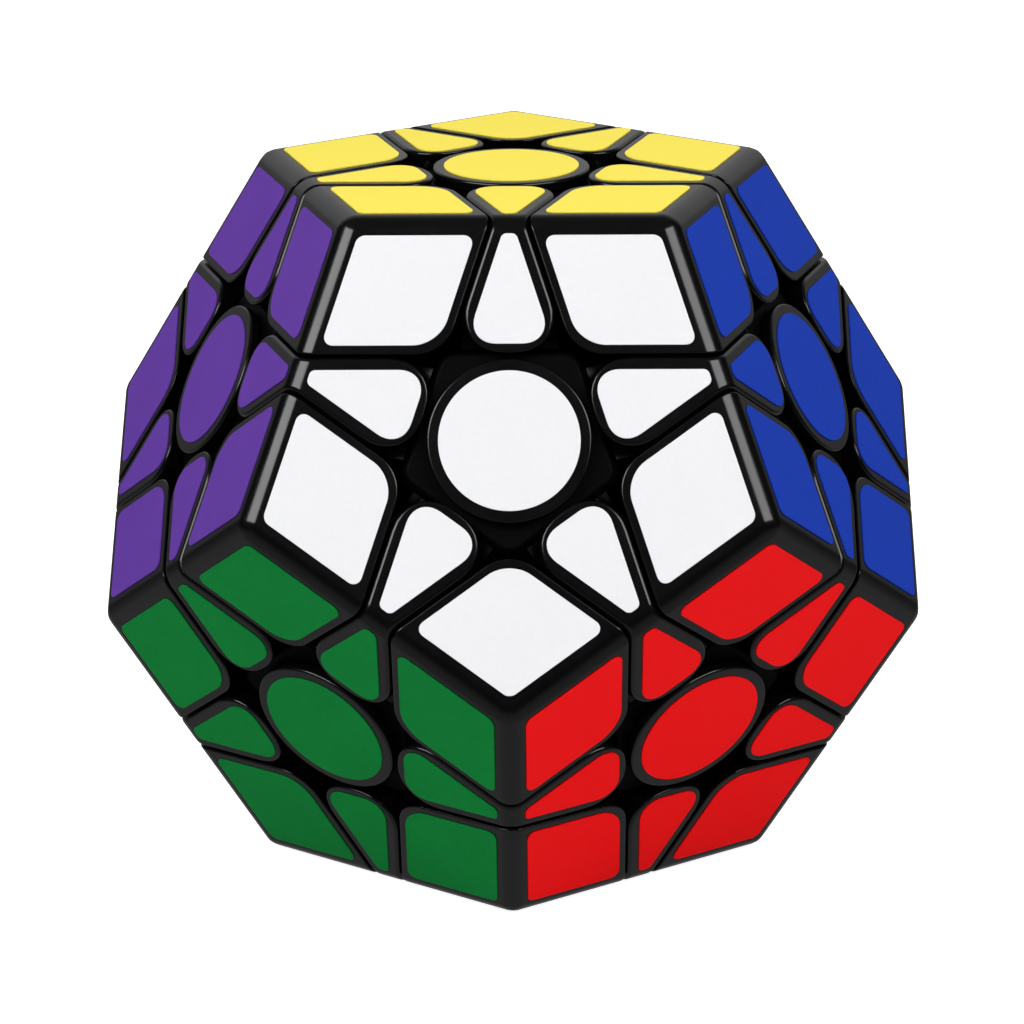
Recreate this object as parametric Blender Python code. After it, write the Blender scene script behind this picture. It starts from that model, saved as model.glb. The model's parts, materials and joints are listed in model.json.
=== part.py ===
"""Dodecahedron twisty puzzle: twelve turning faces on a twelve-armed core.

Origin at the puzzle's centre, where all twelve turning axes meet. +Z is up and runs along the axis of
the yellow centre, so the puzzle stands on its cream face, and the white face looks along -Y.
Metres. Every face has a centre (base, cap, screw and spring), five edges and five corners.
"""
import math

import bmesh
import bpy
from mathutils import Matrix, Vector

MM = 0.001

# Driving dimensions of the whole puzzle
EDGE_LENGTH = 31.0 * MM          # one edge of the dodecahedron
SEAM_FROM_EDGE = 13.45 * MM      # a cut's line on a face, from that face's outer edge
GAP = 0.4 * MM                   # clearance between neighbouring pieces
OUTER_CHAMFER = 0.9 * MM         # on the puzzle's outer edges

# The spherical shell that holds the feet, and the cone that a turning layer sweeps in it
SHELL_OUTER = 31.8 * MM
SHELL_INNER = 22.0 * MM
LAYER_CONE = math.radians(50.0)
CONE_CLEARANCE = math.radians(0.38)
FOOT_CORNER_MARGIN = math.radians(0.45)   # keeps the edge foot's four corners inside the cones

# Rounding of the pieces next to a centre
CORNER_TIP_RADIUS = 4.2 * MM
TIP_SEGMENTS = 3
EDGE_SHOULDER_RADIUS = 3.0 * MM
SHOULDER_SEGMENTS = 2
NECK_OVERLAP = 1.0 * MM         # how far an edge's neck runs up into its wedge
EDGE_SETBACK = 0.1 * MM          # extra room between an edge and the round cap
TIE_SIZE = 2.4 * MM              # web that joins the feet of two mouldings

# Centre: base, cap, screw and spring, as heights above the puzzle's centre and radii
BASE_FLOOR = 15.0 * MM
BASE_FLOOR_THICKNESS = 2.0 * MM
BASE_RADIUS = 4.8 * MM
BASE_BORE = 3.4 * MM
SKIRT_THICKNESS = 1.0 * MM
SKIRT_CHAMFER = 1.2 * MM
CAP_THICKNESS = 1.1 * MM
CAP_RADIUS = 7.7 * MM
CAP_PLUG_DEPTH = 2.4 * MM
CAP_EDGE = 0.45 * MM
SCREW_HOLE = 1.65 * MM
SCREW_RADIUS = 1.3 * MM
SCREW_FOOT = 6.6 * MM
SCREW_HEAD_RADIUS = 2.9 * MM
SCREW_HEAD_BOTTOM = 22.6 * MM
SCREW_HEAD_TOP = 24.8 * MM
SCREW_HEAD_EASE = 0.8 * MM
SCREW_SIDES = 12
SCREW_SLOT = (0.8 * MM, 3.4 * MM, 1.2 * MM)
SPRING_RADIUS = 2.35 * MM
SPRING_WIRE = 0.3 * MM
SPRING_TURNS = 4
SPRING_STEPS = 10                # points along each turn

# Core
HUB_INRADIUS = 8.4 * MM
ARM_TIP = 14.6 * MM
ARM_INSET = 1.2 * MM
ARM_WALL = 2.4 * MM
ARM_HOLE_DEPTH = 8.6 * MM

ROUND_SIDES = 16
TOUCH = 1e-6                     # two places closer than this are one

# Geometry that every regular dodecahedron shares
GOLDEN = (1.0 + math.sqrt(5.0)) / 2.0
FACE_ANGLE = math.acos(1.0 / math.sqrt(5.0))                  # between neighbouring face axes
EDGE_TILT = FACE_ANGLE / 2.0                                  # from an edge's middle to its two axes
CORNER_TILT = math.asin(2.0 / math.sqrt(3.0) * math.sin(EDGE_TILT))   # from a vertex to its three axes
LATITUDE = math.pi / 2.0 - FACE_ANGLE                         # of the two rings of five faces
INRADIUS = EDGE_LENGTH * GOLDEN ** 2 / (2.0 * math.sqrt(3.0 - GOLDEN))
CUT_DEPTH = INRADIUS - SEAM_FROM_EDGE * math.sin(FACE_ANGLE)  # from the puzzle's centre to a cut plane
END_TILT = math.acos(math.cos(FACE_ANGLE) / math.cos(EDGE_TILT))      # from an edge's middle to its end faces


def direction(azimuth, elevation):
    """Unit vector; azimuth 0 looks out along -Y and turns towards +X."""
    level = math.cos(elevation)
    return Vector((math.sin(azimuth) * level, -math.cos(azimuth) * level, math.sin(elevation)))


def ring(names, first_azimuth, elevation):
    step = 2.0 * math.pi / len(names)
    return {name: direction(first_azimuth + step * turn, elevation) for turn, name in enumerate(names)}


AXES = {"yellow": Vector((0.0, 0.0, 1.0))}
AXES.update(ring(("white", "blue", "lime", "orange", "purple"), 0.0, LATITUDE))
AXES.update(ring(("red", "pink", "grey", "sky", "green"), math.pi / 5.0, -LATITUDE))
AXES["cream"] = Vector((0.0, 0.0, -1.0))

COLOURS = {
    "yellow": (0.96, 0.83, 0.12), "white": (0.90, 0.90, 0.92), "blue": (0.014, 0.048, 0.37),
    "lime": (0.24, 0.62, 0.05), "orange": (0.93, 0.25, 0.02), "purple": (0.12, 0.05, 0.31),
    "red": (0.77, 0.014, 0.017), "pink": (0.85, 0.22, 0.42), "grey": (0.30, 0.31, 0.33),
    "sky": (0.16, 0.48, 0.80), "green": (0.005, 0.18, 0.04), "cream": (0.86, 0.78, 0.52),
}

# Three faces that aren't neighbours turn here. The others hold still, so their mouldings may be tied.
TURNING = ("white", "lime", "cream")
TIED = (
    (("yellow", "orange", "purple"), (("yellow", "orange"), ("yellow", "purple"), ("orange", "purple"))),
    (("orange", "purple", "sky"), (("orange", "sky"), ("purple", "sky"))),
    (("orange", "grey", "sky"), (("orange", "grey"), ("grey", "sky"))),
    (("purple", "sky", "green"), (("purple", "green"), ("sky", "green"))),
    (("blue", "red", "pink"), (("blue", "red"), ("blue", "pink"), ("red", "pink"))),
)


# ---- small tools -------------------------------------------------------------------------------------

def clear_scene():
    for thing in list(bpy.data.objects):
        bpy.data.objects.remove(thing, do_unlink=True)


def material(name, colour, roughness, metallic=0.0):
    made = bpy.data.materials.get(name)
    if made is None:
        made = bpy.data.materials.new(name)
        made.use_nodes = True
        shader = made.node_tree.nodes["Principled BSDF"]
        shader.inputs["Base Color"].default_value = (*colour, 1.0)
        shader.inputs["Roughness"].default_value = roughness
        shader.inputs["Metallic"].default_value = metallic
    return made


def plastic():
    return material("black_plastic", (0.012, 0.012, 0.013), 0.38)


def mesh_from(bm, name):
    """Closes a bmesh into a mesh with outward faces and flat facets."""
    bmesh.ops.recalc_face_normals(bm, faces=bm.faces)
    mesh = bpy.data.meshes.new(name)
    bm.to_mesh(mesh)
    bm.free()
    return mesh


def add(name, mesh, finish, parent=None, turn=None):
    """One named piece on its axis: its origin is the puzzle's centre."""
    thing = bpy.data.objects.new(name, mesh)
    bpy.context.scene.collection.objects.link(thing)
    if turn is not None:
        thing.rotation_mode = "QUATERNION"
        thing.rotation_quaternion = turn.to_quaternion()
    if not mesh.materials:
        mesh.materials.append(finish)
    thing.parent = parent
    thing.material_slots[0].link = "OBJECT"
    thing.material_slots[0].material = finish
    return thing


def combined(meshes, operation, name):
    """The meshes joined (or the later ones cut away) by exact booleans, as one mesh."""
    pieces = [bpy.data.objects.new(name, mesh) for mesh in meshes]
    for piece in pieces:
        bpy.context.scene.collection.objects.link(piece)
    for other in pieces[1:]:
        step = pieces[0].modifiers.new(operation.lower(), "BOOLEAN")
        step.operation = operation
        step.solver = "EXACT"
        step.object = other
    bpy.context.view_layer.update()
    shaped = pieces[0].evaluated_get(bpy.context.evaluated_depsgraph_get())
    result = bpy.data.meshes.new_from_object(shaped)
    for piece in pieces:
        bpy.data.objects.remove(piece, do_unlink=True)
    result.materials.clear()
    return result


def moved(mesh, turn):
    """A copy of a mesh, turned about the puzzle's centre."""
    copy = mesh.copy()
    copy.transform(turn.to_4x4())
    return copy


def facing(up, side):
    """Rotation that takes +Z to up, and +X towards side."""
    z = up.normalized()
    x = (side - z * side.dot(z)).normalized()
    return Matrix((x, z.cross(x), z)).transposed()


def tilted(tilt, azimuth):
    return Vector((math.sin(tilt) * math.cos(azimuth), math.sin(tilt) * math.sin(azimuth), math.cos(tilt)))


def edges_where(bm, test):
    """Edges whose two ends both pass a test on their position."""
    return [edge for edge in bm.edges if all(test(vert.co) for vert in edge.verts)]


def bevel(bm, edges, width, segments):
    bmesh.ops.bevel(
        bm, geom=edges, offset=width, offset_type="OFFSET", segments=segments, profile=0.5,
        affect="EDGES", material=-1, clamp_overlap=True)


def turned(profile, sides, name):
    """A solid turned round Z from (radius, height) points, which start and end on the axis."""
    bm = bmesh.new()
    verts = [bm.verts.new((radius, 0.0, height)) for radius, height in profile]
    line = [bm.edges.new(pair) for pair in zip(verts, verts[1:])]
    bmesh.ops.spin(
        bm, geom=verts + line, cent=(0.0, 0.0, 0.0), axis=(0.0, 0.0, 1.0), angle=2.0 * math.pi,
        steps=sides, use_merge=True)
    bmesh.ops.remove_doubles(bm, verts=bm.verts, dist=TOUCH)
    return mesh_from(bm, name)


# ---- corner ------------------------------------------------------------------------------------------

def corner_mesh():
    """A cube sheared onto three faces and three cuts, on a six-sided foot. Its vertex points to +Z."""
    normals = [tilted(CORNER_TILT, 2.0 * math.pi / 3.0 * turn) for turn in range(3)]
    inner = CUT_DEPTH + GAP / 2.0
    span = INRADIUS - inner
    bm = bmesh.new()
    bmesh.ops.create_cube(bm, size=1.0)
    for vert in bm.verts:
        vert.co = (vert.co + Vector((0.5, 0.5, 0.5))) * span + Vector((inner, inner, inner))
    rims = edges_where(bm, lambda co: sum(depth > INRADIUS - TOUCH for depth in co) >= 2)
    tips = edges_where(bm, lambda co: sum(depth < inner + TOUCH for depth in co) >= 2)
    bmesh.ops.transform(bm, matrix=Matrix(normals).inverted().to_4x4(), verts=bm.verts)
    bevel(bm, rims, OUTER_CHAMFER, 1)
    tips = [edge for edge in tips if edge.is_valid]
    bevel(bm, tips, CORNER_TIP_RADIUS * math.tan(EDGE_TILT), TIP_SEGMENTS)
    block = mesh_from(bm, "corner_block")

    half_angle = LAYER_CONE - CORNER_TILT - CONE_CLEARANCE
    top = (SHELL_OUTER - GAP / 2.0) * math.cos(half_angle)
    bm = bmesh.new()
    bmesh.ops.create_cone(
        bm, cap_ends=True, segments=6, radius1=SHELL_INNER * math.tan(half_angle),
        radius2=top * math.tan(half_angle), depth=top - SHELL_INNER)
    bmesh.ops.translate(bm, vec=(0.0, 0.0, (top + SHELL_INNER) / 2.0), verts=bm.verts)
    foot = mesh_from(bm, "corner_foot")
    return combined([block, foot], "UNION", "corner")


# ---- edge --------------------------------------------------------------------------------------------

def edge_mesh():
    """A wedge between two faces, narrow outside, on a tapered foot. Its middle points to +Z, and it
    runs along Y."""
    sides = [tilted(EDGE_TILT, 0.0), tilted(EDGE_TILT, math.pi)]
    ends = [tilted(END_TILT, math.pi / 2.0), tilted(END_TILT, -math.pi / 2.0)]
    inner = CUT_DEPTH + GAP / 2.0 + EDGE_SETBACK
    bm = bmesh.new()
    bmesh.ops.create_cube(bm, size=1.0)
    for vert in bm.verts:
        depths = [inner if half < 0.0 else INRADIUS for half in vert.co[:2]]
        vert.co = Vector(depths + [vert.co.z * EDGE_LENGTH])
    shear = Matrix((sides[0], sides[1], Vector((0.0, 1.0, 0.0)))).inverted()
    bmesh.ops.transform(bm, matrix=shear.to_4x4(), verts=bm.verts)
    cuts = [(end * (CUT_DEPTH - GAP / 2.0), end) for end in ends]
    cuts.append((Vector((0.0, 0.0, SHELL_OUTER + GAP / 2.0)), Vector((0.0, 0.0, -1.0))))
    for point, normal in cuts:
        everything = bm.verts[:] + bm.edges[:] + bm.faces[:]
        cut = bmesh.ops.bisect_plane(
            bm, geom=everything, dist=TOUCH / 10.0, plane_co=point, plane_no=normal, clear_outer=True)
        rim = [part for part in cut["geom_cut"] if isinstance(part, bmesh.types.BMEdge)]
        bmesh.ops.holes_fill(bm, edges=rim, sides=0)

    def lies_on(edge, normals, depth):
        """Whether an edge lies in one of the planes at this depth along the normals."""
        return any(all(abs(normal.dot(vert.co) - depth) < TOUCH for vert in edge.verts) for normal in normals)

    rim = edges_where(bm, lambda co: min(side.dot(co) for side in sides) > INRADIUS - TOUCH)
    shoulders = [
        edge for edge in bm.edges
        if lies_on(edge, sides, inner) and lies_on(edge, ends, CUT_DEPTH - GAP / 2.0)]
    bevel(bm, rim, OUTER_CHAMFER, 1)
    shoulders = [edge for edge in shoulders if edge.is_valid]
    bevel(bm, shoulders, EDGE_SHOULDER_RADIUS / math.tan(EDGE_TILT), SHOULDER_SEGMENTS)
    block = mesh_from(bm, "edge_block")

    along = math.tan(END_TILT - LAYER_CONE - CONE_CLEARANCE)
    across = math.tan(LAYER_CONE - EDGE_TILT - CONE_CLEARANCE - FOOT_CORNER_MARGIN)
    top = (SHELL_OUTER - GAP / 2.0) / math.sqrt(1.0 + along ** 2 + across ** 2)
    neck_top = SHELL_OUTER + NECK_OVERLAP

    def half_width(height):
        return (height * math.cos(EDGE_TILT) - inner) / math.sin(EDGE_TILT)

    outline = [
        (across * SHELL_INNER, SHELL_INNER), (across * top, top), (half_width(top), top),
        (half_width(neck_top), neck_top)]
    outline += [(-x, z) for x, z in reversed(outline)]
    bm = bmesh.new()
    near = bm.faces.new([bm.verts.new((x, -along, z)) for x, z in outline])
    far = bmesh.ops.extrude_face_region(bm, geom=[near])["geom"]
    grown = [part for part in far if isinstance(part, bmesh.types.BMVert)]
    bmesh.ops.translate(bm, vec=(0.0, 2.0 * along, 0.0), verts=grown)
    for vert in bm.verts:
        vert.co.y *= vert.co.z
    stem = mesh_from(bm, "edge_stem")
    return combined([block, stem], "UNION", "edge")


# ---- centre ------------------------------------------------------------------------------------------

def centre_turn(bm):
    """Angle that brings the middle of one side of a five-sided plate to +X."""
    first = bm.verts[:][0].co
    return math.pi / 5.0 - math.atan2(first.y, first.x)


def skirt_mesh():
    """The five-cornered plate of a centre, bounded by the five neighbouring cuts. +X faces one of them."""
    bottom = SHELL_OUTER + GAP / 2.0

    def corner_radius(height):
        flat = (CUT_DEPTH - GAP / 2.0 - height * math.cos(FACE_ANGLE)) / math.sin(FACE_ANGLE)
        return flat / math.cos(math.pi / 5.0)

    bm = bmesh.new()
    bmesh.ops.create_cone(
        bm, cap_ends=True, segments=5, radius1=corner_radius(bottom),
        radius2=corner_radius(bottom + SKIRT_THICKNESS), depth=SKIRT_THICKNESS)
    bmesh.ops.rotate(bm, matrix=Matrix.Rotation(centre_turn(bm), 3, "Z"), verts=bm.verts)
    bmesh.ops.translate(bm, vec=(0.0, 0.0, bottom + SKIRT_THICKNESS / 2.0), verts=bm.verts)
    uprights = [
        edge for edge in bm.edges if abs(edge.verts[0].co.z - edge.verts[1].co.z) > SKIRT_THICKNESS / 2.0]
    bevel(bm, uprights, SKIRT_CHAMFER, 1)
    return mesh_from(bm, "skirt")


def base_mesh():
    """A hollow column that flares up to the skirt, with a floor for the spring and a hole for the screw."""
    flare = math.tan(FACE_ANGLE - LAYER_CONE - CONE_CLEARANCE)
    top = SHELL_OUTER + GAP / 2.0 + SKIRT_THICKNESS
    flare_start = BASE_RADIUS / flare
    flare_end = SHELL_OUTER - GAP
    column = turned(
        [(0.0, BASE_FLOOR), (BASE_RADIUS, BASE_FLOOR), (BASE_RADIUS, flare_start),
         (flare * flare_end, flare_end), (flare * flare_end, top), (0.0, top)], ROUND_SIDES, "column")
    solid = combined([column, skirt_mesh()], "UNION", "base_solid")
    floor_top = BASE_FLOOR + BASE_FLOOR_THICKNESS
    bore = turned(
        [(0.0, BASE_FLOOR - MM), (SCREW_HOLE, BASE_FLOOR - MM), (SCREW_HOLE, floor_top),
         (BASE_BORE, floor_top), (BASE_BORE, top + MM), (0.0, top + MM)], ROUND_SIDES, "bore")
    return combined([solid, bore], "DIFFERENCE", "base")


def cap_mesh():
    """A round cap with an eased edge, on a plug that goes into the base."""
    bottom = INRADIUS - CAP_THICKNESS
    plug = BASE_BORE - GAP
    return turned(
        [(0.0, bottom - CAP_PLUG_DEPTH), (plug, bottom - CAP_PLUG_DEPTH), (plug, bottom),
         (CAP_RADIUS, bottom), (CAP_RADIUS, INRADIUS - CAP_EDGE), (CAP_RADIUS - CAP_EDGE, INRADIUS),
         (0.0, INRADIUS)],
        2 * ROUND_SIDES, "cap")


def fixed_centre_mesh():
    """A centre that doesn't turn here: its base, cap, screw and spring as one solid."""
    flare = math.tan(FACE_ANGLE - LAYER_CONE - CONE_CLEARANCE)
    top = SHELL_OUTER + GAP / 2.0 + SKIRT_THICKNESS / 2.0
    flare_end = SHELL_OUTER - GAP
    column = turned(
        [(0.0, SCREW_FOOT), (SCREW_RADIUS, SCREW_FOOT), (SCREW_RADIUS, BASE_FLOOR), (BASE_RADIUS, BASE_FLOOR),
         (BASE_RADIUS, BASE_RADIUS / flare), (flare * flare_end, flare_end), (CAP_RADIUS * 0.9, top),
         (CAP_RADIUS, INRADIUS - CAP_THICKNESS), (CAP_RADIUS, INRADIUS - CAP_EDGE),
         (CAP_RADIUS - CAP_EDGE, INRADIUS), (0.0, INRADIUS)], ROUND_SIDES, "fixed_column")
    return combined([column, skirt_mesh()], "UNION", "fixed_centre")


def screw_mesh():
    """A shank, a wide head that also serves as the washer, and a cross slot."""
    body = turned(
        [(0.0, SCREW_FOOT), (SCREW_RADIUS * 0.5, SCREW_FOOT), (SCREW_RADIUS, SCREW_FOOT + SCREW_RADIUS),
         (SCREW_RADIUS, SCREW_HEAD_BOTTOM), (SCREW_HEAD_RADIUS, SCREW_HEAD_BOTTOM),
         (SCREW_HEAD_RADIUS, SCREW_HEAD_TOP - SCREW_HEAD_EASE),
         (SCREW_HEAD_RADIUS - SCREW_HEAD_EASE, SCREW_HEAD_TOP),
         (0.0, SCREW_HEAD_TOP)], SCREW_SIDES, "screw_body")
    width, length, depth = SCREW_SLOT
    slots = []
    for size in ((width, length), (length, width)):
        bm = bmesh.new()
        bmesh.ops.create_cube(bm, size=1.0)
        bmesh.ops.scale(bm, vec=(size[0], size[1], 2.0 * depth), verts=bm.verts)
        bmesh.ops.translate(bm, vec=(0.0, 0.0, SCREW_HEAD_TOP), verts=bm.verts)
        slots.append(mesh_from(bm, "slot"))
    return combined([body] + slots, "DIFFERENCE", "screw")


def spring_mesh():
    """A round-wire compression spring between the base's floor and the screw's head."""
    low = BASE_FLOOR + BASE_FLOOR_THICKNESS + GAP + SPRING_WIRE
    high = SCREW_HEAD_BOTTOM - GAP - SPRING_WIRE
    steps = SPRING_TURNS * SPRING_STEPS
    curve = bpy.data.curves.new("spring_path", "CURVE")
    curve.dimensions = "3D"
    curve.bevel_depth = SPRING_WIRE
    curve.bevel_resolution = 1
    curve.use_fill_caps = True
    line = curve.splines.new("POLY")
    line.points.add(steps)
    for step, point in enumerate(line.points):
        angle = 2.0 * math.pi * step / SPRING_STEPS
        height = low + (high - low) * step / steps
        point.co = (SPRING_RADIUS * math.cos(angle), SPRING_RADIUS * math.sin(angle), height, 1.0)
    path = bpy.data.objects.new("spring_path", curve)
    bpy.context.scene.collection.objects.link(path)
    bpy.context.view_layer.update()
    mesh = bpy.data.meshes.new_from_object(path.evaluated_get(bpy.context.evaluated_depsgraph_get()))
    bpy.data.objects.remove(path, do_unlink=True)
    mesh.materials.clear()
    return mesh


# ---- core --------------------------------------------------------------------------------------------

def core_mesh():
    """A dodecahedral hub with its vertices cut off, and a hollow ten-sided arm on each face."""
    bm = bmesh.new()
    scale = HUB_INRADIUS / math.cos(CORNER_TILT)
    for names in corners():
        bm.verts.new(sum((AXES[name] for name in names), Vector()).normalized() * scale)
    bmesh.ops.convex_hull(bm, input=bm.verts[:])
    bmesh.ops.dissolve_limit(bm, angle_limit=0.02, verts=bm.verts[:], edges=bm.edges[:])
    hub_edge = HUB_INRADIUS / INRADIUS * EDGE_LENGTH
    bmesh.ops.bevel(
        bm, geom=bm.verts[:], offset=hub_edge / (2.0 + GOLDEN), offset_type="OFFSET", segments=1, profile=0.5,
        affect="VERTICES", material=-1)
    arms = [face for face in bm.faces if len(face.verts) == 10]
    bmesh.ops.inset_individual(bm, faces=arms, thickness=ARM_INSET)
    arms = push(bm, arms, ARM_TIP - HUB_INRADIUS)
    bmesh.ops.inset_individual(bm, faces=arms, thickness=ARM_WALL)
    push(bm, arms, -ARM_HOLE_DEPTH)
    return mesh_from(bm, "core")


def push(bm, faces, distance):
    """Extrudes each face on its own, out (or in) along its normal."""
    grown = bmesh.ops.extrude_discrete_faces(bm, faces=faces)["faces"]
    for face in grown:
        bmesh.ops.translate(bm, vec=face.calc_center_median().normalized() * distance, verts=face.verts[:])
    return grown


# ---- assembly ----------------------------------------------------------------------------------------

def neighbours(first, second):
    return first != second and AXES[first].dot(AXES[second]) > 0.4


def edges():
    """Pairs of faces that meet at an edge."""
    names = list(AXES)
    return [(a, b) for i, a in enumerate(names) for b in names[i + 1:] if neighbours(a, b)]


def corners():
    """Triples of faces that meet at a vertex."""
    names = list(AXES)
    return [
        (a, b, c) for a, b in edges() for c in names[names.index(b) + 1:]
        if neighbours(a, c) and neighbours(b, c)]


def piece_turn(names):
    """Rotation that takes a corner or an edge from +Z to its place."""
    middle = sum((AXES[name] for name in names), Vector())
    return facing(middle, AXES[names[0]])


def centre_rotation(face):
    side = next(name for name in AXES if neighbours(face, name))
    return facing(AXES[face], AXES[side])


def tie_mesh(corner, edge):
    """A small block across the gap between a corner's foot and an edge's foot."""
    vertex = sum((AXES[name] for name in corner), Vector()).normalized()
    middle = sum((AXES[name] for name in edge), Vector()).normalized()
    reach = math.tan(END_TILT - LAYER_CONE)
    seam = (middle + (vertex - middle * vertex.dot(middle)).normalized() * reach).normalized()
    bm = bmesh.new()
    bmesh.ops.create_cube(bm, size=TIE_SIZE)
    place = Matrix.Translation(seam * (SHELL_INNER + SHELL_OUTER) / 2.0) @ facing(seam, vertex).to_4x4()
    bmesh.ops.transform(bm, matrix=place, verts=bm.verts)
    return mesh_from(bm, "tie")


def build():
    clear_scene()
    layers = {}
    for face in TURNING:
        layers[face] = bpy.data.objects.new(face + "_layer", None)
        bpy.context.scene.collection.objects.link(layers[face])

    def layer_of(names):
        return next((layers[name] for name in names if name in layers), None)

    corner = corner_mesh()
    edge = edge_mesh()
    base = base_mesh()
    cap = cap_mesh()
    screw = screw_mesh()
    spring = spring_mesh()
    fixed_centre = fixed_centre_mesh()
    steel = material("screw_steel", (0.55, 0.55, 0.57), 0.3, 1.0)
    wire = material("spring_steel", (0.42, 0.42, 0.44), 0.35, 1.0)

    add("core", core_mesh(), material("core_nylon", (0.03, 0.03, 0.032), 0.5))

    for names in corners():
        if layer_of(names):
            add("_".join(names) + "_corner", corner, plastic(), layer_of(names), piece_turn(names))
    tied_edges = [names for _, joined in TIED for names in joined]
    for names in edges():
        if names not in tied_edges:
            add("_".join(names) + "_edge", edge, plastic(), layer_of(names), piece_turn(names))
    for names, joined in TIED:
        parts = [moved(corner, piece_turn(names))]
        parts += [moved(edge, piece_turn(pair)) for pair in joined]
        parts += [tie_mesh(names, pair) for pair in joined]
        add("_".join(names) + "_corner_and_edges", combined(parts, "UNION", "tied"), plastic())

    for face in AXES:
        turn = centre_rotation(face)
        colour = material(face + "_vinyl", COLOURS[face], 0.42)
        if face in layers:
            add(face + "_centre_base", base, plastic(), layers[face], turn)
            add(face + "_centre_cap", cap, colour, layers[face], turn)
            add(face + "_screw", screw, steel, None, turn)
            add(face + "_spring", spring, wire, None, turn)
        else:
            add(face + "_centre", fixed_centre, colour, None, turn)


build()
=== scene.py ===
import json
import math

import bmesh
import bpy
from mathutils import Matrix, Vector

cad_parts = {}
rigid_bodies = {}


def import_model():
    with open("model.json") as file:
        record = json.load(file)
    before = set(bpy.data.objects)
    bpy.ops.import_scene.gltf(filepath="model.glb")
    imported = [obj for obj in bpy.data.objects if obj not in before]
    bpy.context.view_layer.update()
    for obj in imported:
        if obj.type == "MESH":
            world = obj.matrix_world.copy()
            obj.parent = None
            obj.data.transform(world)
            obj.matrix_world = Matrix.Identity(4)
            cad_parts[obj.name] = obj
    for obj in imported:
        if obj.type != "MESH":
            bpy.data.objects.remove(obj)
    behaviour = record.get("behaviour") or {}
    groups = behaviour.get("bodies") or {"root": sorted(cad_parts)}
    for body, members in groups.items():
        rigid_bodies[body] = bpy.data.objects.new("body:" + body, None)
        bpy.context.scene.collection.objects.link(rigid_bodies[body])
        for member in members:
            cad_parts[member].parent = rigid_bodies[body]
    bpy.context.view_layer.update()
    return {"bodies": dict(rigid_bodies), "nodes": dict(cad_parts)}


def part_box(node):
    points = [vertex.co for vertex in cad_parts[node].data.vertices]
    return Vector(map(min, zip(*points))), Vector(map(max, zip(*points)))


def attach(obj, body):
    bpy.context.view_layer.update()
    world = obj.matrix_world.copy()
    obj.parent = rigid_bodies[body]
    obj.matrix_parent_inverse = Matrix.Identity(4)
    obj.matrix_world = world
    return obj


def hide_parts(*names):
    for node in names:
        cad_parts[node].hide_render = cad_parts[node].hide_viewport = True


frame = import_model()


# ---- Core --------------------------------------------------------------------------------------------
# The hub that all twelve faces turn on: a ball with twelve hollow arms, one moulding in grey-black nylon.
# Each arm takes the screw of one face, so the core hangs free inside the puzzle.

MM = 0.001
FULL_TURN = 2.0 * math.pi
FACE_STEP = FULL_TURN / 5.0                       # from one neighbour of a face to the next, round its axis
FACE_ANGLE = math.acos(1.0 / math.sqrt(5.0))      # between the axes of two neighbouring faces
RING_TILT = math.pi / 2.0 - FACE_ANGLE            # of the two rings of five faces, up and down
SAME_PLACE = 1e-6                                 # two points closer than this are one

HUB_RADIUS = 9.7 * MM
ARM_RADIUS = 4.0 * MM
ARM_ROOT_RADIUS = 5.0 * MM
ARM_ROOT = 8.2 * MM
ARM_NECK = 10.4 * MM
ARM_TIP = 14.6 * MM
ARM_EASE = 0.45 * MM
SCREW_BORE = 1.6 * MM
SCREW_BORE_FLOOR = 6.0 * MM
SCREW_BORE_EASE = 0.2 * MM
CUTTER_OVERRUN = 1.0 * MM                         # of a bore's cutter past the surface
ROUND_STEPS = 48
TURNED_RIM = math.radians(25.0)                   # a turned solid is eased where it bends more than this
SHARP_EDGE = math.radians(38.0)                   # a surface that bends more than this shades as an edge

CORE_COLOUR = (0.030, 0.030, 0.033, 1.0)
GRAIN_SIZE = 0.14 * MM                            # of the fine grain on every moulding
GRAIN_LIGHTER = 1.6                               # how much lighter its high spots are
GRAIN_ROUGHER = 0.04
POLISH_SIZE = 2.5 * MM                            # of the patches that are more and less polished
POLISH_SWING = 0.03                               # of their roughness, up and down


def direction(azimuth, elevation):
    """Unit vector; azimuth 0 looks out along -Y and turns towards +X."""
    level = math.cos(elevation)
    return Vector((math.sin(azimuth) * level, -math.cos(azimuth) * level, math.sin(elevation)))


def face_axes():
    """The outward axis of each of the twelve faces, by the colour of its stickers."""
    axes = {"yellow": Vector((0.0, 0.0, 1.0))}
    for turn, colour in enumerate(("white", "blue", "lime", "orange", "purple")):
        axes[colour] = direction(turn * FACE_STEP, RING_TILT)
    for turn, colour in enumerate(("red", "pink", "grey", "sky", "green")):
        axes[colour] = direction((turn + 0.5) * FACE_STEP, -RING_TILT)
    axes["cream"] = Vector((0.0, 0.0, -1.0))
    return axes


AXES = face_axes()


def facing(up, side):
    """Matrix that takes +Z to up, and +X towards side."""
    z = up.normalized()
    x = (side - z * side.dot(z)).normalized()
    return Matrix((x, z.cross(x), z)).transposed().to_4x4()


def neighbours(face):
    """The five faces round a face: the others on its own side of the puzzle."""
    return [other for other in AXES if other != face and AXES[other].dot(AXES[face]) > 0.0]


def centre_place(face):
    """Where a piece modelled along +Z goes when it belongs to the centre of a face."""
    return facing(AXES[face], AXES[neighbours(face)[0]])


def bevel(bm, edges, width, segments):
    bmesh.ops.bevel(
        bm, geom=edges, offset=width, offset_type="OFFSET", segments=segments, profile=0.5,
        affect="EDGES", material=-1, clamp_overlap=True)


def mesh_from(bm, name):
    """Turns a bmesh into a mesh with outward, smooth faces."""
    bmesh.ops.recalc_face_normals(bm, faces=bm.faces)
    for face in bm.faces:
        face.smooth = True
    mesh = bpy.data.meshes.new(name)
    bm.to_mesh(mesh)
    bm.free()
    return mesh


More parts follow.
